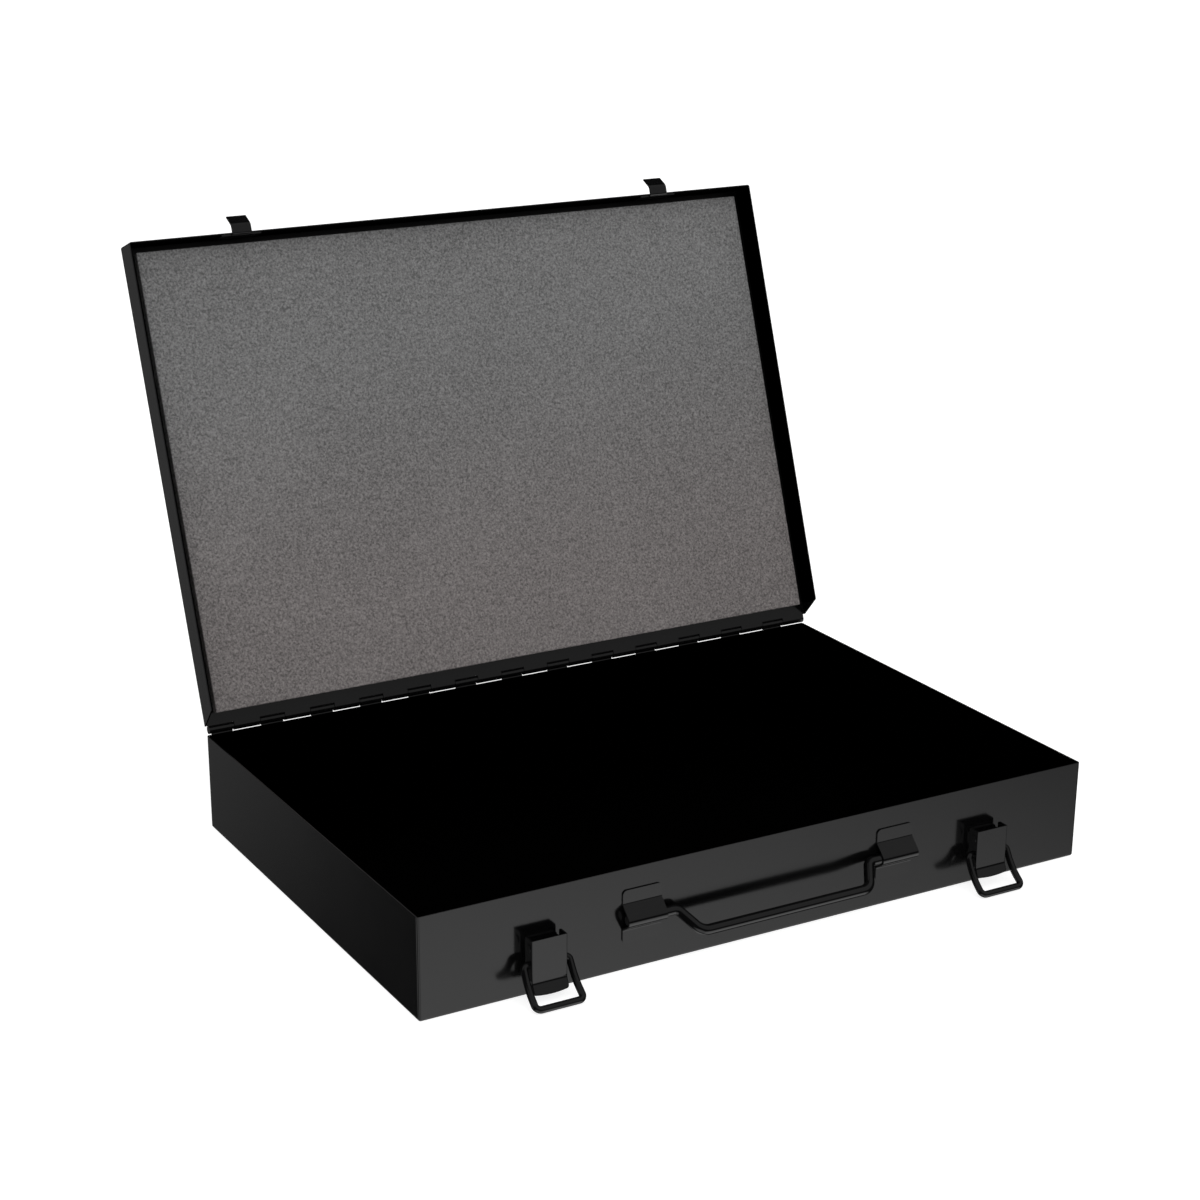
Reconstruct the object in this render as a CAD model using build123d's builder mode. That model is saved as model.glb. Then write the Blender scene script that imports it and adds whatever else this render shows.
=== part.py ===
from build123d import *
import os
from math import acos, asin, atan2, cos, hypot, radians, sin

os.makedirs("parts", exist_ok=True)

# Frame: millimetres, +Z up, X along the front, -Y towards the person who opens the case.
# The origin is the middle of the tray's underside, on the surface that the case stands on.

# Tray and sheet
CASE_WIDTH = 457.2
CASE_DEPTH = 304.8
TRAY_HEIGHT = 63.1
SHEET = 1.0
BEND_OUTER = 1.5
WALL_FRONT = -CASE_DEPTH / 2
WALL_BACK = CASE_DEPTH / 2

# Hinge: knuckles rolled from the tray's back wall and from the lid's back edge, on one wire
PIN_RADIUS = 1.6
PIN_PLAY = 0.08
PIN_END_CHAMFER = 0.3
KNUCKLE_PAIRS = 13
KNUCKLE_GAP = 0.4
KNUCKLE_INNER = PIN_RADIUS + PIN_PLAY
KNUCKLE_OUTER = KNUCKLE_INNER + SHEET
KNUCKLE_SLIT_ANGLE = 20.0
KNUCKLE_PITCH = 35.07
TRAY_KNUCKLE_LENGTH = 16.6
TRAY_KNUCKLE_START = -227.1
TAB_INSET = 0.7
CORNER_RELIEF = 3.2
LID_KNUCKLE_LENGTH = KNUCKLE_PITCH - TRAY_KNUCKLE_LENGTH - 2 * KNUCKLE_GAP
TAB_BEND_INNER = 0.5
TAB_BEND_OUTER = TAB_BEND_INNER + SHEET
PIN_Y = WALL_BACK + TAB_BEND_INNER
PIN_Z = TRAY_HEIGHT + TAB_BEND_INNER + KNUCKLE_OUTER

# Lid: measured from the hinge axis in the lid's own frame, which matches the case's when it is shut
LID_OPEN_ANGLE = 109.94
LID_WIDTH = 460.3
LID_OVERHANG = 3.8
LID_FRONT = CASE_DEPTH / 2 + PIN_Y + LID_OVERHANG
LID_BACK_PLAY = 0.1
LID_BACK = KNUCKLE_OUTER + LID_BACK_PLAY
PANEL_OUTER = -KNUCKLE_INNER
PANEL_INNER = -KNUCKLE_OUTER
FLANGE_DEPTH = 18.35
LID_RIM = PANEL_OUTER - FLANGE_DEPTH
FLANGE_TAPER = 9.8
FLANGE_TAPER_TOP = 0.25

# Foam pad and the film that holds it
FOAM_HALF_WIDTH = 223.0
FOAM_BACK = 10.3
FOAM_FRONT = 303.7
FOAM_FACE = PANEL_OUTER - 8.14
FOAM_CORNER = 1.0
FOAM_EDGE = 0.6
FILM = 0.25
FILM_INSET = 6.0

# Draw latches
LATCH_X = {"left": -153.0, "right": 154.0}
LATCH_PIN_Y = WALL_FRONT - 7.0
LATCH_PIN_Z = 32.5
LATCH_PIN_RADIUS = 1.5
LATCH_PIN_PLAY = 0.08
LATCH_HEAD_RADIUS = 2.4
LATCH_HEAD = 0.35
LATCH_HEAD_GAP = 0.1
LATCH_HEAD_ROUND = 0.2

BASE_SHEET = 1.2
BASE_WIDTH = 19.6
BASE_BOTTOM = 13.5
BASE_TOP = 36.0
BASE_CORNER = 2.0
EAR_BOTTOM = 27.5
EAR_RADIUS = 2.4

LEVER_WIDTH = 22.4
LEVER_FACE = -3.8
LEVER_TOP = 5.6
LEVER_LIP_START = {"left": -20.7, "right": -18.9}
LEVER_LIP_LENGTH = {"left": 7.3, "right": 6.4}
LEVER_LIP_ANGLE = 26.0
LEVER_LIP_BEND = 3.0
LEVER_LIP_CORNER = 1.8
LEVER_LIP_SAGITTA = 1.0
LEVER_EDGE_ROUND = 0.6
LEVER_FLANGE_EDGE = 4.2
LEVER_FLANGE_CORNER = 1.2
LEVER_FLANGE_BOTTOM = -15.3
LEVER_FLANGE_MARGIN = 1.0

LOOP_WIRE = 2.1
LOOP_HOLE_PLAY = 0.08
LOOP_PIVOT = (0.5, -10.5)
LOOP_TOP_HALF = 14.4
LOOP_BAR_HALF = 15.1
LOOP_END_HALF = 7.5
LOOP_BOW = 2.5
LOOP_END_RADIUS = 2.6
LOOP_BOW_RADIUS = 36.0
LOOP_CORNER_RADIUS = 3.2
LOOP_REST_GAP = 0.2

# Latch hooks inside the lid's front flange, in the lid's own frame
HOOK_X = {"left": -155.0, "right": 154.4}
HOOK_SHEET = 1.0
HOOK_WIDTH = 13.3
HOOK_FOOT_WIDTH = 27.0
HOOK_FOOT_TOP = -10.0
HOOK_FOOT_CORNER = 2.0
HOOK_ROOT_RADIUS = 1.8
HOOK_CURL_RADIUS = 3.9
HOOK_CURL_START = 3.2
HOOK_LIP_ANGLE = 45.0
HOOK_REACH = 11.1
HOOK_BAR_CLEARANCE = 0.2
HOOK_BAR_OUT = 3.0

# Carrying handle and the two straps that hold it
HANDLE_WIRE = 3.12
HANDLE_PIVOT_Y = WALL_FRONT - 4.2
HANDLE_PIVOT_Z = 32.8
HANDLE_ANGLE = 54.4
HANDLE_ARM = 17.0
HANDLE_END_X = 99.6
HANDLE_SHOULDER_X = 66.7
HANDLE_GRIP_X = 58.0
HANDLE_SHOULDER_RADIUS = 5.0
HANDLE_GRIP_RADIUS = 8.0
HANDLE_END_CHAMFER = 0.4

CLIP_X = 87.7
CLIP_WIDTH = 25.6
CLIP_SHEET = 0.9
CLIP_BOTTOM = 17.2
CLIP_TOP = 50.2
CLIP_CREASE_LOW = 26.2
CLIP_CREASE_HIGH = 41.4
CLIP_PLAY = 0.1
CLIP_CREASE_RADIUS = 1.3
CLIP_CORNER = 2.75


def turned_plane(origin, angle):
    """A plane whose X is the case's X, turned about it by angle degrees from lying flat."""
    a = radians(angle)
    return Plane(origin=origin, x_dir=(1, 0, 0), z_dir=(0, -sin(a), cos(a)))


def side_plane(base, x):
    """The plane square to X at x, whose axes are the base plane's Y and Z."""
    start = base.from_local_coords((x, 0, 0))
    return Plane(origin=start, x_dir=base.y_dir, z_dir=(1, 0, 0))


def save(builder, label):
    """Name the finished piece and write it."""
    builder.part.label = label
    export_step(builder.part, f"parts/{label}.step")


def tangent_corner(low, high, centre, radius):
    """Where the tangents from two points, passing in front of a circle, meet."""
    def tangent(point, side):
        dy, dz = centre[0] - point[0], centre[1] - point[1]
        angle = atan2(dz, dy) + side * asin(radius / hypot(dy, dz))
        return cos(angle), sin(angle)

    (ay, az), (by, bz) = tangent(low, 1), tangent(high, -1)
    cross = ay * bz - az * by
    reach = ((high[0] - low[0]) * bz - (high[1] - low[1]) * by) / cross
    return low[0] + reach * ay, low[1] + reach * az


HINGE = turned_plane((0, PIN_Y, PIN_Z), 0)
LID = turned_plane((0, PIN_Y, PIN_Z), -LID_OPEN_ANGLE)
TRAY_KNUCKLES = [TRAY_KNUCKLE_START + i * KNUCKLE_PITCH for i in range(KNUCKLE_PAIRS)]
LID_KNUCKLES = [x + TRAY_KNUCKLE_LENGTH + KNUCKLE_GAP for x in TRAY_KNUCKLES]


def knuckle_ring():
    """Draw the end view of a rolled knuckle: a ring about the pin, open from its bottom to its front."""
    slit = radians(KNUCKLE_SLIT_ANGLE)
    reach = 2 * KNUCKLE_OUTER
    Circle(KNUCKLE_OUTER)
    Circle(KNUCKLE_INNER, mode=Mode.SUBTRACT)
    Polygon(
        (0, 0),
        (-reach * cos(slit), -reach * sin(slit)),
        (-reach, -reach),
        (0, -reach),
        align=None,
        mode=Mode.SUBTRACT,
    )


# Tray: one folded sheet, its back wall's tabs bent back under the pin and rolled round it
with BuildPart() as tray:
    with BuildSketch():
        RectangleRounded(CASE_WIDTH, CASE_DEPTH, BEND_OUTER)
    extrude(amount=TRAY_HEIGHT)
    fillet(tray.faces().sort_by(Axis.Z)[0].edges(), BEND_OUTER)
    offset(amount=-SHEET, openings=tray.faces().sort_by(Axis.Z)[-1])

    for start in TRAY_KNUCKLES:
        tab_start = max(start + TAB_INSET, CORNER_RELIEF - CASE_WIDTH / 2)
        with BuildSketch(side_plane(HINGE, tab_start)):
            with Locations((0, TRAY_HEIGHT - PIN_Z)):
                Circle(TAB_BEND_OUTER)
                Circle(TAB_BEND_INNER, mode=Mode.SUBTRACT)
                Rectangle(TAB_BEND_OUTER, TAB_BEND_OUTER, align=(Align.MAX, Align.MIN), mode=Mode.INTERSECT)
        extrude(amount=start + TRAY_KNUCKLE_LENGTH - TAB_INSET - tab_start)
        with BuildSketch(side_plane(HINGE, start)):
            knuckle_ring()
        extrude(amount=TRAY_KNUCKLE_LENGTH)
save(tray, "tray")

# Hinge pin: one straight wire through all the knuckles
with BuildPart() as hinge_pin:
    with BuildSketch(side_plane(HINGE, TRAY_KNUCKLE_START)):
        Circle(PIN_RADIUS)
    extrude(amount=-2 * TRAY_KNUCKLE_START)
    chamfer(hinge_pin.edges().filter_by(GeomType.CIRCLE), PIN_END_CHAMFER)
save(hinge_pin, "hinge_pin")

# Lid: a folded pan, open at the back, where its panel's tabs are rolled round the pin
with BuildPart() as lid:
    with BuildSketch(LID.offset(LID_RIM)):
        with Locations((0, -LID_BACK)):
            Rectangle(LID_WIDTH, LID_FRONT - LID_BACK, align=(Align.CENTER, Align.MAX))
    extrude(amount=FLANGE_DEPTH)
    lid_up = Axis(LID.origin, LID.z_dir)
    lid_back = Axis(LID.origin, LID.y_dir)
    fillet(lid.edges().filter_by(lid_up).group_by(lid_back)[0], BEND_OUTER)
    panel_edges = lid.faces().sort_by(lid_up)[-1].edges()
    fillet(panel_edges.sort_by(lid_back)[:-1], BEND_OUTER)
    offset(amount=-SHEET, openings=[lid.faces().sort_by(lid_up)[0], lid.faces().sort_by(lid_back)[-1]])

    flange_top = PANEL_INNER - FLANGE_TAPER_TOP
    with BuildSketch(side_plane(LID, -LID_WIDTH / 2)):
        with BuildLine():
            Polyline(
                (-LID_BACK, flange_top),
                (-LID_BACK - FLANGE_TAPER, LID_RIM),
                (0, LID_RIM),
                (0, flange_top),
                close=True,
            )
        make_face()
    extrude(amount=LID_WIDTH, mode=Mode.SUBTRACT)

    for start in LID_KNUCKLES:
        with BuildSketch(side_plane(LID, start)):
            knuckle_ring()
            with Locations((0, PANEL_INNER)):
                Rectangle(LID_BACK + SHEET, SHEET, align=(Align.MAX, Align.MIN))
        extrude(amount=LID_KNUCKLE_LENGTH)
save(lid, "lid")

# Foam pad: a slab with softly broken edges, inside the lid
with BuildPart() as foam_pad:
    with BuildSketch(LID.offset(FOAM_FACE)):
        with Locations((0, -(FOAM_BACK + FOAM_FRONT) / 2)):
            RectangleRounded(2 * FOAM_HALF_WIDTH, FOAM_FRONT - FOAM_BACK, FOAM_CORNER)
    extrude(amount=PANEL_INNER - FILM - FOAM_FACE)
    fillet(foam_pad.faces().sort_by(lid_up)[0].edges(), FOAM_EDGE)
save(foam_pad, "foam_pad")

# Adhesive film between the foam and the lid's panel
with BuildPart() as foam_adhesive:
    with BuildSketch(LID.offset(PANEL_INNER - FILM)):
        with Locations((0, -(FOAM_BACK + FOAM_FRONT) / 2)):
            Rectangle(2 * (FOAM_HALF_WIDTH - FILM_INSET), FOAM_FRONT - FOAM_BACK - 2 * FILM_INSET)
    extrude(amount=FILM)
save(foam_adhesive, "foam_adhesive")

# The latched loop's bar lies in the hook's trough, nearly straight above the loop's pivot.
# Its distance from the pivot also sets how far out the loop hangs when its bar is down by the ground.
HOOK_UNDERSIDE = LID_RIM - HOOK_ROOT_RADIUS
HOOK_BAR_Y = PIN_Y - LID_FRONT - HOOK_BAR_OUT
HOOK_BAR_Z = PIN_Z + HOOK_UNDERSIDE + HOOK_SHEET + HOOK_BAR_CLEARANCE + LOOP_WIRE
LOOP_PIVOT_Y = LATCH_PIN_Y + LOOP_PIVOT[0]
LOOP_PIVOT_Z = LATCH_PIN_Z + LOOP_PIVOT[1]
LOOP_CHORD = hypot(HOOK_BAR_Y - LOOP_PIVOT_Y, HOOK_BAR_Z - LOOP_PIVOT_Z)
LOOP_DROP = acos((LOOP_PIVOT_Z - LOOP_WIRE - LOOP_REST_GAP) / LOOP_CHORD)

for name, centre_x in LATCH_X.items():
    LEVER = turned_plane((centre_x, LATCH_PIN_Y, LATCH_PIN_Z), 0)
    wall = WALL_FRONT - LATCH_PIN_Y

    # Latch base: a foot plate on the wall with two ears that carry the pin
    with BuildPart() as latch_base:
        with BuildSketch(Plane.XZ.offset(-WALL_FRONT)):
            with Locations((centre_x, (BASE_BOTTOM + BASE_TOP) / 2)):
                RectangleRounded(BASE_WIDTH, BASE_TOP - BASE_BOTTOM, BASE_CORNER)
        extrude(amount=BASE_SHEET)
        ear_starts = (-BASE_WIDTH / 2, BASE_WIDTH / 2 - BASE_SHEET)
        ear_middle = (EAR_BOTTOM + BASE_TOP - BASE_CORNER) / 2 - LATCH_PIN_Z
        ear_height = BASE_TOP - BASE_CORNER - EAR_BOTTOM
        with BuildSketch(*[side_plane(LEVER, x) for x in ear_starts]):
            with Locations((wall - BASE_SHEET / 2, ear_middle)):
                Rectangle(BASE_SHEET, ear_height)
            Circle(EAR_RADIUS)
            make_hull()
            Circle(LATCH_PIN_RADIUS, mode=Mode.SUBTRACT)
        extrude(amount=BASE_SHEET)
    save(latch_base, f"latch_base_{name}")

    # Latch pin: a rivet through the ears and the lever's flanges, with a low head at each end
    with BuildPart() as latch_pin:
        head_start = LEVER_WIDTH / 2 + LATCH_HEAD_GAP
        with BuildSketch(side_plane(LEVER, -head_start)):
            Circle(LATCH_PIN_RADIUS)
        extrude(amount=2 * head_start)
        with BuildSketch(*[side_plane(LEVER, x) for x in (-head_start - LATCH_HEAD, head_start)]):
            Circle(LATCH_HEAD_RADIUS)
        extrude(amount=LATCH_HEAD)
        head_faces = latch_pin.faces().sort_by(Axis.X)
        head_rims = [head_faces[0].edges()[0], head_faces[-1].edges()[0]]
        fillet(head_rims, LATCH_HEAD_ROUND)
    save(latch_pin, f"latch_pin_{name}")

    # Latch lever: a channel with its back to the wall, its face flared out below as a finger lip
    with BuildPart() as latch_lever:
        flare = radians(LEVER_LIP_ANGLE)
        lip_start = LEVER_LIP_START[name]
        lip_end_y = LEVER_FACE - LEVER_LIP_LENGTH[name] * sin(flare)
        lip_end_z = lip_start - LEVER_LIP_LENGTH[name] * cos(flare)
        with BuildSketch(side_plane(LEVER, -LEVER_WIDTH / 2)):
            with BuildLine():
                FilletPolyline(
                    (LEVER_FACE, LEVER_TOP),
                    (LEVER_FACE, lip_start),
                    (lip_end_y, lip_end_z),
                    radius=LEVER_LIP_BEND,
                )
                offset(amount=SHEET, side=Side.LEFT)
            make_face()
        extrude(amount=LEVER_WIDTH)
        lip_arc = LEVER_WIDTH**2 / (8 * LEVER_LIP_SAGITTA) + LEVER_LIP_SAGITTA / 2
        lip_tip = LEVER.from_local_coords((0, lip_end_y, lip_end_z))
        with BuildSketch(Plane(origin=lip_tip, x_dir=(1, 0, 0), z_dir=(0, -cos(flare), sin(flare)))):
            Rectangle(2 * LEVER_WIDTH, 2 * LEVER_LIP_SAGITTA)
            with Locations((0, lip_arc)):
                Circle(lip_arc, mode=Mode.SUBTRACT)
        extrude(amount=2 * SHEET, both=True, mode=Mode.SUBTRACT)
        lip_end = latch_lever.faces().sort_by(Axis.Z)[0].edges()
        fillet(lip_end.filter_by(lambda e: e.length < 2 * SHEET), LEVER_LIP_CORNER)

        corner_y = LEVER_FLANGE_EDGE - LEVER_FLANGE_CORNER
        corner_z = LEVER_TOP - LEVER_FLANGE_CORNER
        flange_taper = lip_start + LEVER_FLANGE_MARGIN
        flange_starts = (-LEVER_WIDTH / 2, LEVER_WIDTH / 2 - SHEET)
        with BuildSketch(*[side_plane(LEVER, x) for x in flange_starts]):
            with BuildLine():
                Polyline(
                    (corner_y, LEVER_TOP),
                    (LEVER_FACE, LEVER_TOP),
                    (LEVER_FACE, flange_taper),
                    (LEVER_FACE + SHEET, flange_taper),
                    (LEVER_FLANGE_EDGE, LEVER_FLANGE_BOTTOM),
                    (LEVER_FLANGE_EDGE, corner_z),
                )
                CenterArc((corner_y, corner_z), LEVER_FLANGE_CORNER, 0, 90)
            make_face()
        extrude(amount=SHEET)
        channel_edges = latch_lever.edges().filter_by(Axis(LEVER.origin, LEVER.z_dir))
        fillet(channel_edges.sort_by(Axis(LEVER.origin, LEVER.y_dir))[:2], LEVER_EDGE_ROUND)
        with BuildSketch(side_plane(LEVER, -LEVER_WIDTH / 2)):
            Circle(LATCH_PIN_RADIUS + LATCH_PIN_PLAY)
            with Locations(LOOP_PIVOT):
                Circle(LOOP_WIRE + LOOP_HOLE_PLAY)
        extrude(amount=LEVER_WIDTH, mode=Mode.SUBTRACT)
    save(latch_lever, f"latch_lever_{name}")

    # Latch loop: a bent wire, its ends sprung into the lever's flanges, its bar down by the ground
    pivot = (centre_x, LOOP_PIVOT_Y, LOOP_PIVOT_Z)
    loop_plane = Plane(origin=pivot, x_dir=(1, 0, 0), z_dir=(0, sin(LOOP_DROP), cos(LOOP_DROP)))
    with BuildPart() as latch_loop:
        middle_half = (LOOP_TOP_HALF + LOOP_BAR_HALF) / 2
        local_points = (
            (-LOOP_END_HALF, 0, 0),
            (-LOOP_TOP_HALF, 0, 0),
            (-middle_half, LOOP_BOW, -LOOP_CHORD / 2),
            (-LOOP_BAR_HALF, 0, -LOOP_CHORD),
            (LOOP_BAR_HALF, 0, -LOOP_CHORD),
            (middle_half, LOOP_BOW, -LOOP_CHORD / 2),
            (LOOP_TOP_HALF, 0, 0),
            (LOOP_END_HALF, 0, 0),
        )
        with BuildLine() as loop_path:
            FilletPolyline(
                *[loop_plane.from_local_coords(p) for p in local_points],
                radius=[
                    LOOP_END_RADIUS,
                    LOOP_BOW_RADIUS,
                    LOOP_CORNER_RADIUS,
                    LOOP_CORNER_RADIUS,
                    LOOP_BOW_RADIUS,
                    LOOP_END_RADIUS,
                ],
            )
        with BuildSketch(Plane(origin=loop_path.line @ 0, z_dir=loop_path.line % 0)):
            Circle(LOOP_WIRE)
        sweep(transition=Transition.ROUND)
    save(latch_loop, f"latch_loop_{name}")

# Latch hooks: a foot plate inside the lid's front flange, its tongue turned out under the rim as a J
for name, centre_x in HOOK_X.items():
    with BuildPart() as latch_hook:
        hook_face = SHEET - LID_FRONT
        with BuildSketch(side_plane(LID, centre_x - HOOK_FOOT_WIDTH / 2)):
            with Locations((hook_face, LID_RIM)):
                Rectangle(HOOK_SHEET, HOOK_FOOT_TOP - LID_RIM, align=(Align.MIN, Align.MIN))
        extrude(amount=HOOK_FOOT_WIDTH)
        upper = latch_hook.faces().sort_by(lid_up)[-1].edges()
        fillet(upper.filter_by(lambda e: e.length < 2 * HOOK_SHEET), HOOK_FOOT_CORNER)
        lip = radians(HOOK_LIP_ANGLE)
        curl_corner = HOOK_CURL_START + HOOK_CURL_RADIUS * sin(lip) / (1 + cos(lip))
        lip_rise = (HOOK_REACH - curl_corner) * sin(lip) / cos(lip)
        with BuildSketch(side_plane(LID, centre_x - HOOK_WIDTH / 2)):
            with BuildLine():
                FilletPolyline(
                    (hook_face + HOOK_SHEET, HOOK_UNDERSIDE + 2 * HOOK_ROOT_RADIUS),
                    (hook_face + HOOK_SHEET, HOOK_UNDERSIDE),
                    (-LID_FRONT - curl_corner, HOOK_UNDERSIDE),
                    (-LID_FRONT - HOOK_REACH, HOOK_UNDERSIDE + lip_rise),
                    radius=[HOOK_ROOT_RADIUS, HOOK_CURL_RADIUS],
                )
                offset(amount=HOOK_SHEET, side=Side.RIGHT)
            make_face()
        extrude(amount=HOOK_WIDTH)
    save(latch_hook, f"latch_hook_{name}")

# Handle clips: straps pressed over the handle's wire and fixed flat to the wall above and below it
clip_nose = tangent_corner(
    (WALL_FRONT, CLIP_CREASE_LOW),
    (WALL_FRONT, CLIP_CREASE_HIGH),
    (HANDLE_PIVOT_Y, HANDLE_PIVOT_Z),
    HANDLE_WIRE + CLIP_PLAY,
)
for name, side in (("left", -1), ("right", 1)):
    with BuildPart() as handle_clip:
        with BuildSketch(Plane.YZ.offset(side * CLIP_X - CLIP_WIDTH / 2)):
            with BuildLine():
                FilletPolyline(
                    (WALL_FRONT, CLIP_BOTTOM),
                    (WALL_FRONT, CLIP_CREASE_LOW),
                    clip_nose,
                    (WALL_FRONT, CLIP_CREASE_HIGH),
                    (WALL_FRONT, CLIP_TOP),
                    radius=[
                        CLIP_CREASE_RADIUS + CLIP_SHEET,
                        HANDLE_WIRE + CLIP_PLAY,
                        CLIP_CREASE_RADIUS + CLIP_SHEET,
                    ],
                )
                offset(amount=CLIP_SHEET, side=Side.LEFT)
            make_face()
        extrude(amount=CLIP_WIDTH)
        plate_corners = handle_clip.edges().filter_by(Axis.Y).group_by(Axis.Z)
        fillet(plate_corners[0] + plate_corners[-1], CLIP_CORNER)
    save(handle_clip, f"handle_clip_{name}")

# Carrying handle: one bent wire, its straight ends turning in the two straps
HANDLE = turned_plane((0, HANDLE_PIVOT_Y, HANDLE_PIVOT_Z), -HANDLE_ANGLE)
with BuildPart() as carry_handle:
    with BuildLine() as handle_path:
        FilletPolyline(
            *[
                HANDLE.from_local_coords(p)
                for p in (
                    (-HANDLE_END_X, 0, 0),
                    (-HANDLE_SHOULDER_X, 0, 0),
                    (-HANDLE_GRIP_X, 0, -HANDLE_ARM),
                    (HANDLE_GRIP_X, 0, -HANDLE_ARM),
                    (HANDLE_SHOULDER_X, 0, 0),
                    (HANDLE_END_X, 0, 0),
                )
            ],
            radius=[
                HANDLE_SHOULDER_RADIUS,
                HANDLE_GRIP_RADIUS,
                HANDLE_GRIP_RADIUS,
                HANDLE_SHOULDER_RADIUS,
            ],
        )
    with BuildSketch(Plane(origin=handle_path.line @ 0, z_dir=handle_path.line % 0)):
        Circle(HANDLE_WIRE)
    sweep(transition=Transition.ROUND)
    wire_ends = carry_handle.faces().sort_by(Axis.X)
    chamfer([wire_ends[0].edges()[0], wire_ends[-1].edges()[0]], HANDLE_END_CHAMFER)
save(carry_handle, "carry_handle")
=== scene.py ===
from math import cos, pi, radians, sin

import bpy
import numpy as np
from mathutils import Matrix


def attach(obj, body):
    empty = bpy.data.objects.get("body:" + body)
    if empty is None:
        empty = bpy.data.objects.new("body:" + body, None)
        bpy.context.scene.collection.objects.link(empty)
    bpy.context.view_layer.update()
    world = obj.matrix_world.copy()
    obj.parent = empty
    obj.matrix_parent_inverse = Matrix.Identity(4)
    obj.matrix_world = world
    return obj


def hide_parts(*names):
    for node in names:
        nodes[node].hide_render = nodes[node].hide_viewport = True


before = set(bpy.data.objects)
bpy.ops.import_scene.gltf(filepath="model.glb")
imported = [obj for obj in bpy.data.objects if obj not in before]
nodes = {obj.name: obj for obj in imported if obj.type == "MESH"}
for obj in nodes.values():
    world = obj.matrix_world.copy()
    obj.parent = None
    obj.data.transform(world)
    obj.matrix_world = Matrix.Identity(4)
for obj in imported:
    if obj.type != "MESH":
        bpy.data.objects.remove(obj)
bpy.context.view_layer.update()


# Tray. A shallow box folded from one sheet of steel, 1 mm thick, with rolled hinge knuckles along
# its back. It is sprayed gloss black. Its inside has painted shade: a darker black that mirrors very little.
PAINT_BLACK = (0.0030, 0.0030, 0.0032, 1)
PAINT_THIN = (0.0062, 0.0060, 0.0060, 1)
# Painted shade: the darker black given to the hollows inside the tray and the lid.
PAINTED_SHADE_BLACK = (0.0001, 0.0001, 0.0001, 1)
PAINT_IOR = 1.5
PAINT_ROUGHNESS = 0.13
HOLLOW_ROUGHNESS = 1.0
HOLLOW_BORDER = 0.0004
PEEL_SCALE = 420.0
CLOUD_SCALE = 16.0
RUBBED_SCALE = (90.0, 2600.0, 2600.0)
CLOUD_ROUGHNESS = 0.028
RUBBED_ROUGHNESS = 0.02
CLOUD_TONE = 0.35
RUBBED_TONE = 0.25
PEEL_HEIGHT = 0.00001


def wire(tree, socket, value):
    """Give an input socket either a constant or another node's output."""
    if isinstance(value, bpy.types.NodeSocket):
        tree.links.new(value, socket)
    elif value is not None:
        socket.default_value = value


def add(tree, kind, inputs=None, **settings):
    """Add one shader node with its settings, and fill the inputs that are named or numbered."""
    made = tree.nodes.new("ShaderNode" + kind)
    for name, value in settings.items():
        setattr(made, name, value)
    for key, value in (inputs or {}).items():
        wire(tree, made.inputs[key], value)
    return made


def sums(tree, operation, *values, clamp=False):
    """One Math node on numbers or sockets."""
    return add(tree, "Math", dict(enumerate(values)), operation=operation, use_clamp=clamp).outputs[0]


def fade(tree, value, low, high, start=0.0, end=1.0):
    """A smooth step from start to end as value goes from low to high."""
    inputs = {"Value": value, "From Min": low, "From Max": high, "To Min": start, "To Max": end}
    return add(tree, "MapRange", inputs, interpolation_type="SMOOTHSTEP").outputs["Result"]


def new_group(name, takes, gives):
    """An empty node group with number inputs, given with their usual values, and named outputs."""
    group = bpy.data.node_groups.new(name, "ShaderNodeTree")
    for label, (kind, usual) in takes.items():
        made = group.interface.new_socket(label, in_out="INPUT", socket_type="NodeSocket" + kind)
        if usual is not None:
            made.default_value = usual
    for label, kind in gives.items():
        group.interface.new_socket(label, in_out="OUTPUT", socket_type="NodeSocket" + kind)
    return group, group.nodes.new("NodeGroupInput").outputs, group.nodes.new("NodeGroupOutput").inputs


def spray_group():
    """Sprayed gloss paint: a faint orange peel, cloudy patches in the gloss, and fine rubbed lines."""
    takes = {"Place": ("Vector", None), "Smooth": ("Float", PAINT_ROUGHNESS)}
    gives = {"Roughness": "Float", "Tone": "Float", "Height": "Float"}
    group, given, out = new_group("sprayed_gloss", takes, gives)
    place = given["Place"]
    peel = add(group, "TexNoise", {"Vector": place, "Scale": PEEL_SCALE, "Detail": 1.5, "Roughness": 0.4})
    cloud = add(group, "TexNoise", {"Vector": place, "Scale": CLOUD_SCALE, "Detail": 3.0, "Roughness": 0.55})
    long_way = add(group, "Mapping", {"Vector": place, "Scale": RUBBED_SCALE})
    rubbed = add(group, "TexNoise", {"Vector": long_way.outputs[0], "Scale": 1.0, "Detail": 2.0})
    patch = fade(group, cloud.outputs["Fac"], 0.35, 0.7)
    line = fade(group, rubbed.outputs["Fac"], 0.66, 0.8)
    haze = sums(group, "MULTIPLY_ADD", patch, CLOUD_ROUGHNESS, given["Smooth"])
    clouded = sums(group, "MULTIPLY", patch, CLOUD_TONE)
    wire(group, out["Roughness"], sums(group, "MULTIPLY_ADD", line, RUBBED_ROUGHNESS, haze))
    wire(group, out["Tone"], sums(group, "MULTIPLY_ADD", line, RUBBED_TONE, clouded))
    wire(group, out["Height"], peel.outputs["Fac"])
    return group


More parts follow.
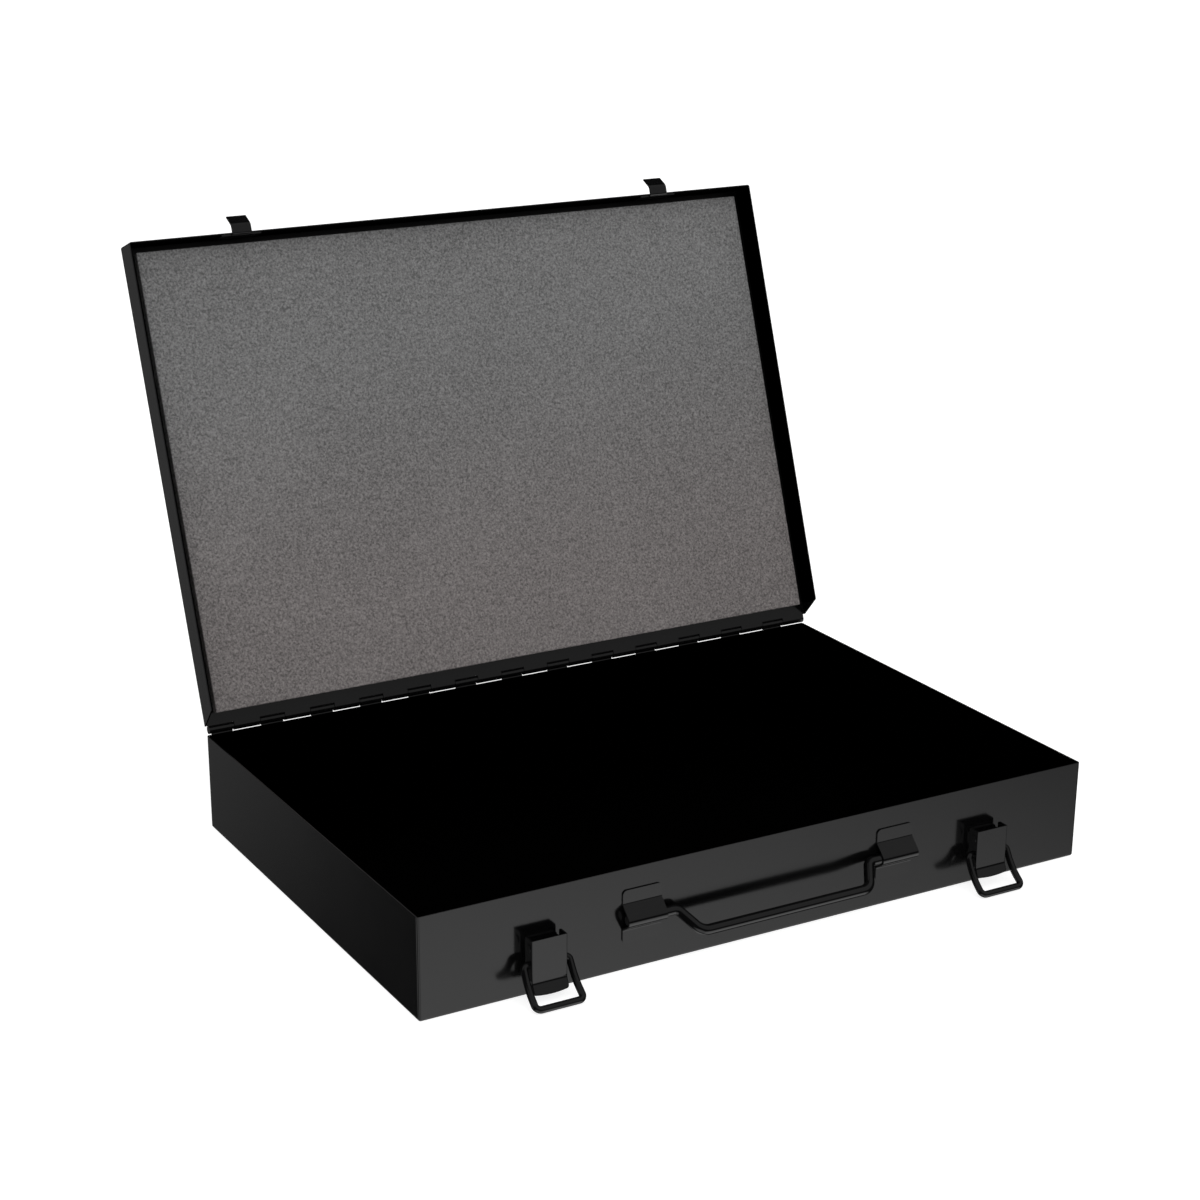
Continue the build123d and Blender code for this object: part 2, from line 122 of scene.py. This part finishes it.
def box_group():
    """A mask that is 1 inside a box, given by its middle and half sizes, and 0 outside it."""
    takes = {"Place": ("Vector", None), "Middle": ("Vector", None), "Half": ("Vector", None)}
    group, given, out = new_group("inside_box", takes, {"Inside": "Float"})
    away = add(group, "VectorMath", {0: given["Place"], 1: given["Middle"]}, operation="SUBTRACT")
    away = add(group, "VectorMath", {0: away.outputs[0]}, operation="ABSOLUTE")
    depth = add(group, "VectorMath", {0: given["Half"], 1: away.outputs[0]}, operation="SUBTRACT")
    parts = add(group, "SeparateXYZ", {0: depth.outputs[0]}).outputs
    least = sums(group, "MINIMUM", sums(group, "MINIMUM", parts[0], parts[1]), parts[2])
    wire(group, out["Inside"], sums(group, "DIVIDE", least, HOLLOW_BORDER, clamp=True))
    return group


SPRAY = spray_group()
INSIDE = box_group()


def fresh_material(name):
    """A new material, its node tree and its Principled shader."""
    material = bpy.data.materials.new(name)
    material.use_nodes = True
    return material, material.node_tree, material.node_tree.nodes["Principled BSDF"]


def black_paint(name, turn=0.0, pivot=(0, 0, 0), hollow=None, roughness=PAINT_ROUGHNESS):
    """Gloss black paint, read in coordinates turned by an angle about X through pivot. In the hollow, a box
    given by its middle and half sizes there, shade is painted in as a darker black metal, which mirrors very
    little."""
    material, tree, paint = fresh_material(name)
    wire(tree, paint.inputs["IOR"], PAINT_IOR)
    place = add(tree, "TexCoord").outputs["Object"]
    if turn:
        moved = add(tree, "VectorMath", {0: place, 1: pivot}, operation="SUBTRACT").outputs[0]
        inputs = {"Vector": moved, "Angle": turn}
        place = add(tree, "VectorRotate", inputs, rotation_type="X_AXIS").outputs[0]
    spray = add(tree, "Group", node_tree=SPRAY)
    for label, value in (("Place", place), ("Smooth", roughness)):
        wire(tree, spray.inputs[label], value)
    tone = add(tree, "Mix", {0: spray.outputs["Tone"], 6: PAINT_BLACK, 7: PAINT_THIN}, data_type="RGBA")
    colour, rough = tone.outputs[2], spray.outputs["Roughness"]
    if hollow:
        box = add(tree, "Group", node_tree=INSIDE)
        for label, value in (("Place", place), ("Middle", hollow[0]), ("Half", hollow[1])):
            wire(tree, box.inputs[label], value)
        inside = box.outputs[0]
        # Painted shade: in the hollow the colour turns to a darker black, and Metallic and Roughness take
        # its gloss away.
        colour = add(tree, "Mix", {0: inside, 6: colour, 7: PAINTED_SHADE_BLACK}, data_type="RGBA").outputs[2]
        rough = add(tree, "Mix", {0: inside, 2: rough, 3: HOLLOW_ROUGHNESS}).outputs[0]
        wire(tree, paint.inputs["Metallic"], inside)
    bump = add(tree, "Bump", {"Height": spray.outputs["Height"], "Strength": 0.5, "Distance": PEEL_HEIGHT})
    wire(tree, paint.inputs["Base Color"], colour)
    wire(tree, paint.inputs["Roughness"], rough)
    wire(tree, paint.inputs["Normal"], bump.outputs[0])
    return material


def finish_node(material, *names):
    """Give CAD nodes their material."""
    for name in names:
        nodes[name].material_slots[0].material = material


# Painted shade: this box inside the tray gets the darker black that mirrors very little.
TRAY_SHADE_BOX = ((0, 0, 0.0319), (0.2281, 0.1519, 0.0316))
finish_node(black_paint("tray_paint", hollow=TRAY_SHADE_BOX), "tray")


# Hinge pin. One drawn steel wire through all the knuckles, cut off at both ends.
# It is left bare, and only its ends and the gaps between the knuckles show it.
STEEL_DARK = (0.06, 0.058, 0.055, 1)
STEEL_PALE = (0.13, 0.125, 0.12, 1)
DRAWN_SCALE = (60.0, 4000.0, 4000.0)
DRAWN_DEPTH = 0.00001


def drawn_steel(name):
    """Bare drawn wire: grey metal, with fine lines drawn along X."""
    material, tree, steel = fresh_material(name)
    place = add(tree, "TexCoord").outputs["Object"]
    drawn = add(tree, "Mapping", {"Vector": place, "Scale": DRAWN_SCALE}).outputs[0]
    lines = add(tree, "TexNoise", {"Vector": drawn, "Scale": 1.0, "Detail": 3.0}).outputs["Fac"]
    dull = add(tree, "Mix", {0: lines, 6: STEEL_DARK, 7: STEEL_PALE}, data_type="RGBA")
    bump = add(tree, "Bump", {"Height": lines, "Strength": 0.4, "Distance": DRAWN_DEPTH})
    wire(tree, steel.inputs["Base Color"], dull.outputs[2])
    wire(tree, steel.inputs["Metallic"], 1.0)
    wire(tree, steel.inputs["Roughness"], fade(tree, lines, 0.3, 0.7, 0.28, 0.42))
    wire(tree, steel.inputs["Normal"], bump.outputs[0])
    return material


finish_node(drawn_steel("pin_steel_drawn"), "hinge_pin")


# Lid. A pan folded from the same kind of sheet, hinged at its back edge and leaning back from the tray.
# Its flanges stand round a foam pad, and inside them is the same painted shade as in the tray.
LID_PIN = (0, 0.1529, 0.06628)
LID_OPEN = radians(109.94)
# Painted shade: this box inside the lid's flanges gets the same darker black.
LID_SHADE_BOX = ((0, -0.15975, -0.0120), (0.22965, 0.14885, 0.00945))
finish_node(black_paint("lid_paint", LID_OPEN, LID_PIN, LID_SHADE_BOX), "lid")


# Foam pad. A slab of grey open-cell foam, cut square with crisp edges. It lies a few millimetres
# inside the lid's flanges, and a film of glue holds it to the lid's panel.
FOAM_HALF = np.array([0.2230, 0.14670, 0.003445])
FOAM_MIDDLE = np.array([0, -0.15700, -0.006375])
FOAM_EDGE = 0.0007
FOAM_STEP = 0.0024
FOAM_DARK = (0.104, 0.1035, 0.1035, 1)
FOAM_PALE = (0.284, 0.283, 0.283, 1)
FOAM_WARMTH = (1.06, 0.98, 0.965, 1)
WARM_FROM = 0.30
WARM_FULLY = 0.10
CELL_SCALE = 900.0
GRAIN_SCALE = 620.0
PATCH_SCALE = 9.0
SPECK_STRENGTH = 0.78
CELL_DEPTH = 0.00025


def rounded_box(half, edge, step):
    """A closed box with round edges. Each side is a grid of two parameters; a point is pulled to the nearest
    point of the inner box, and then pushed out from it by the edge's radius, along the line between them."""
    corners, quads, start = [], [], 0
    for axis in range(3):
        first, second = [a for a in range(3) if a != axis]
        lines = []
        for a in (first, second):
            flat = half[a] - edge
            middle = np.linspace(-flat, flat, max(2, int(round(2 * flat / step)) + 1))
            turn = flat + edge * np.tan(np.linspace(0, pi / 4, 5)[1:])
            lines.append(np.concatenate([-turn[::-1], middle, turn]))
        u, v = np.meshgrid(*lines, indexing="ij")
        for side in (-1, 1):
            points = np.empty(u.shape + (3,))
            points[..., first], points[..., second], points[..., axis] = u, v, side * half[axis]
            index = start + np.arange(u.size).reshape(u.shape)
            ring = [index[:-1, :-1], index[1:, :-1], index[1:, 1:], index[:-1, 1:]]
            outwards = side * (1 if (axis != 1) else -1)
            quads.append(np.stack(ring if outwards > 0 else ring[::-1], -1).reshape(-1, 4))
            corners.append(points.reshape(-1, 3))
            start += u.size
    points = np.concatenate(corners)
    inner = np.clip(points, edge - half, half - edge)
    out = points - inner
    points = inner + edge * out / np.linalg.norm(out, axis=1, keepdims=True)
    _, first_seen, number = np.unique(np.round(points, 7), axis=0, return_index=True, return_inverse=True)
    return points[first_seen], number.reshape(-1)[np.concatenate(quads)]


def mesh_piece(name, points, faces, material):
    """A smooth mesh object from arrays of points and faces."""
    mesh = bpy.data.meshes.new(name)
    mesh.from_pydata(points.tolist(), [], faces.tolist())
    mesh.polygons.foreach_set("use_smooth", np.ones(len(faces), bool))
    mesh.materials.append(material)
    mesh.validate()
    piece = bpy.data.objects.new(name, mesh)
    bpy.context.scene.collection.objects.link(piece)
    return piece


def grey_foam(name):
    """Open-cell foam: pits between pale struts, as small as the cells, in uneven larger patches. Low down,
    near the tray, it is a little warmer."""
    material, tree, foam = fresh_material(name)
    place = add(tree, "TexCoord").outputs["Object"]
    inputs = {"Vector": place, "Scale": CELL_SCALE}
    cells = add(tree, "TexVoronoi", inputs, feature="SMOOTH_F1").outputs["Distance"]
    inputs = {"Vector": place, "Scale": GRAIN_SCALE, "Detail": 3.0, "Roughness": 0.7}
    grain = add(tree, "TexNoise", inputs).outputs["Fac"]
    cloud = add(tree, "TexNoise", {"Vector": place, "Scale": PATCH_SCALE, "Detail": 2.0}).outputs["Fac"]
    struts = fade(tree, grain, 0.3, 0.7, -0.5, 0.5)
    pits = fade(tree, cells, 0.1, 0.7, 0.25, -0.25)
    speck = sums(tree, "ADD", struts, pits)
    patches = fade(tree, cloud, 0.35, 0.65, 0.46, 0.54)
    blend = sums(tree, "MULTIPLY_ADD", speck, SPECK_STRENGTH, patches)
    grey = add(tree, "Mix", {0: blend, 6: FOAM_DARK, 7: FOAM_PALE}, data_type="RGBA").outputs[2]
    low_down = fade(tree, add(tree, "SeparateXYZ", {0: place}).outputs[2], WARM_FROM, WARM_FULLY)
    inputs = {0: low_down, 6: grey, 7: FOAM_WARMTH}
    tone = add(tree, "Mix", inputs, data_type="RGBA", blend_type="MULTIPLY")
    bump = add(tree, "Bump", {"Height": speck, "Strength": 0.5, "Distance": CELL_DEPTH})
    wire(tree, foam.inputs["Base Color"], tone.outputs[2])
    wire(tree, foam.inputs["Roughness"], fade(tree, grain, 0.3, 0.7, 0.9, 1.0))
    wire(tree, foam.inputs["Specular IOR Level"], 0.1)
    wire(tree, foam.inputs["Normal"], bump.outputs[0])
    return material


def into_lid(points):
    """Turn points from the lid's own axes, which lie flat at the pin, to where the open lid holds them."""
    c, s = cos(-LID_OPEN), sin(-LID_OPEN)
    x, y, z = points.T
    return np.stack([x, LID_PIN[1] + c * y - s * z, LID_PIN[2] + s * y + c * z], -1)


foam_points, foam_faces = rounded_box(FOAM_HALF, FOAM_EDGE, FOAM_STEP)
foam_points = foam_points + FOAM_MIDDLE
foam_slab = mesh_piece("foam_slab", into_lid(foam_points), foam_faces, grey_foam("foam_grey"))
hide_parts("foam_pad")
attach(foam_slab, "lid_body")


# Foam adhesive. A thin film of pale, tacky glue, which holds the foam to the lid's panel.
# It lies wholly behind the foam and shows from no side.
GLUE_THIN = (0.46, 0.43, 0.36, 1)
GLUE_THICK = (0.62, 0.59, 0.52, 1)


def tacky_film(name):
    """Pale glue with cloudy thick and thin places."""
    material, tree, glue = fresh_material(name)
    place = add(tree, "TexCoord").outputs["Object"]
    thick = add(tree, "TexNoise", {"Vector": place, "Scale": 120.0, "Detail": 4.0}).outputs["Fac"]
    tone = add(tree, "Mix", {0: thick, 6: GLUE_THIN, 7: GLUE_THICK}, data_type="RGBA")
    wire(tree, glue.inputs["Base Color"], tone.outputs[2])
    wire(tree, glue.inputs["Roughness"], fade(tree, thick, 0.3, 0.7, 0.35, 0.6))
    bump = add(tree, "Bump", {"Height": thick, "Strength": 0.5, "Distance": 0.00005})
    wire(tree, glue.inputs["Normal"], bump.outputs[0])
    return material


finish_node(tacky_film("glue_film"), "foam_adhesive")


# Latches. Each is a pressed base fixed flat to the front wall, a bent channel lever on a rivet,
# and a bent wire loop sprung into the lever. The hook that it pulls on is fixed to the lid's flange.
PRESSED_ROUGHNESS = 0.07
WIRE_ROUGHNESS = 0.06
pressed_paint = black_paint("pressed_paint", roughness=PRESSED_ROUGHNESS)
wire_paint = black_paint("wire_paint", roughness=WIRE_ROUGHNESS)
hook_paint = black_paint("hook_paint", LID_OPEN, LID_PIN, roughness=PRESSED_ROUGHNESS)
for side in ("left", "right"):
    finish_node(pressed_paint, "latch_base_" + side, "latch_lever_" + side, "latch_pin_" + side)
    finish_node(wire_paint, "latch_loop_" + side)
    finish_node(hook_paint, "latch_hook_" + side)


# Handle. One bent wire, thick enough to carry by, with its straight ends turning in two straps.
# The straps are pressed from sheet and fixed flat to the front wall.
finish_node(pressed_paint, "handle_clip_left", "handle_clip_right")
finish_node(wire_paint, "carry_handle")


# Studio. A wide white floor and one large soft lamp above the front. Matt things get even light
# from all round, and gloss mirrors a dark surround with soft cards in it.
FLOOR_REACH = 30.0
FLOOR_DROP = 0.0001
FLOOR_GREY = (0.50, 0.50, 0.50, 1)
FLOOR_GLOW = 0.80


def floor_material(name):
    """White floor that looks white to the camera and still takes a soft shadow."""
    material, tree, floor = fresh_material(name)
    wire(tree, floor.inputs["Base Color"], FLOOR_GREY)
    wire(tree, floor.inputs["Roughness"], 1.0)
    wire(tree, floor.inputs["Specular IOR Level"], 0.0)
    seen = add(tree, "LightPath").outputs["Is Camera Ray"]
    wire(tree, floor.inputs["Emission Color"], (1, 1, 1, 1))
    wire(tree, floor.inputs["Emission Strength"], sums(tree, "MULTIPLY", seen, FLOOR_GLOW))
    return material


floor_corners = [(FLOOR_REACH * x, FLOOR_REACH * y, 0) for x, y in ((-1, -1), (1, -1), (1, 1), (-1, 1))]
floor_mesh = bpy.data.meshes.new("floor")
floor_mesh.from_pydata(floor_corners, [], [(0, 1, 2, 3)])
floor_mesh.materials.append(floor_material("floor_white"))
floor = bpy.data.objects.new("floor", floor_mesh)
floor.location.z = -FLOOR_DROP
floor.visible_glossy = False
bpy.context.scene.collection.objects.link(floor)

# The soft cards: each has its direction, the cosines from it at which it fades out and is full, and
# its brightness
CARDS = (
    ((0.25, -0.60, -0.76), 0.78, 0.97, 1.35),
    ((0.35, -0.55, 0.76), 0.66, 0.86, 0.33),
    ((-0.20, 0.95, -0.25), 0.955, 0.99, 0.16),
    ((-0.50, -0.60, -0.62), 0.80, 0.97, 1.0),
    ((-0.60, 0.10, 0.79), 0.75, 0.95, 0.35),
    ((-0.10, 0.50, -0.86), 0.86, 0.97, 0.7),
    ((-0.82, 0.50, -0.28), 0.88, 0.97, 0.6),
)
SURROUND = 0.02
DAYLIGHT = 0.80


def studio_world():
    """Even light for matt things; for gloss, soft cards; and white where the camera looks past the floor."""
    world = bpy.data.worlds.new("studio")
    world.use_nodes = True
    tree = world.node_tree
    tree.nodes.clear()
    way = add(tree, "TexCoord").outputs["Generated"]
    level = SURROUND
    for direction, far, near, bright in CARDS:
        unit = np.array(direction) / np.linalg.norm(direction)
        along = add(tree, "VectorMath", {0: way, 1: tuple(unit)}, operation="DOT_PRODUCT").outputs["Value"]
        level = sums(tree, "MAXIMUM", level, fade(tree, along, far, near, SURROUND, bright))
    paths = add(tree, "LightPath").outputs
    level = add(tree, "Mix", {0: paths["Is Diffuse Ray"], 2: level, 3: DAYLIGHT}).outputs[0]
    level = add(tree, "Mix", {0: paths["Is Camera Ray"], 2: level, 3: 1.0}).outputs[0]
    sky = add(tree, "Background", {"Color": (1, 1, 1, 1), "Strength": level})
    wire(tree, add(tree, "OutputWorld").inputs["Surface"], sky.outputs[0])
    return world


bpy.context.scene.world = studio_world()

LAMP_WIDTH = 1.6
LAMP_WATTS = 9.0
LAMP_PLACE = (-0.3, -1.5, 1.9)
LAMP_TILT = radians(38)
LAMP_TURN = radians(-11)
lamp_light = bpy.data.lights.new("soft_lamp", "AREA")
lamp_light.shape = "DISK"
lamp_light.size = LAMP_WIDTH
lamp_light.energy = LAMP_WATTS
lamp = bpy.data.objects.new("soft_lamp", lamp_light)
lamp.location = LAMP_PLACE
lamp.rotation_euler = (LAMP_TILT, 0, LAMP_TURN)
lamp.visible_glossy = False
bpy.context.scene.collection.objects.link(lamp)

# The camera's place and angle come from a fit to the edges of the case itself
CAMERA_LENS = 74.679
SENSOR_WIDTH = 36.0
CAMERA_SHIFT = (0.03888, 0.08346)
CAMERA_PLACE = (-0.7497, -1.2452, 0.6466)
LOOKS_DOWN = radians(20.766)
LOOKS_ROUND = radians(-28.964)
camera_body = bpy.data.cameras.new("camera")
camera_body.lens = CAMERA_LENS
camera_body.sensor_width = SENSOR_WIDTH
camera_body.shift_x, camera_body.shift_y = CAMERA_SHIFT
camera_body.clip_start = 0.05
camera_body.clip_end = 100
camera = bpy.data.objects.new("camera", camera_body)
camera.location = CAMERA_PLACE
camera.rotation_euler = (radians(90) - LOOKS_DOWN, 0, LOOKS_ROUND)
bpy.context.scene.collection.objects.link(camera)
bpy.context.scene.camera = camera
bpy.context.scene.view_settings.view_transform = "Standard"
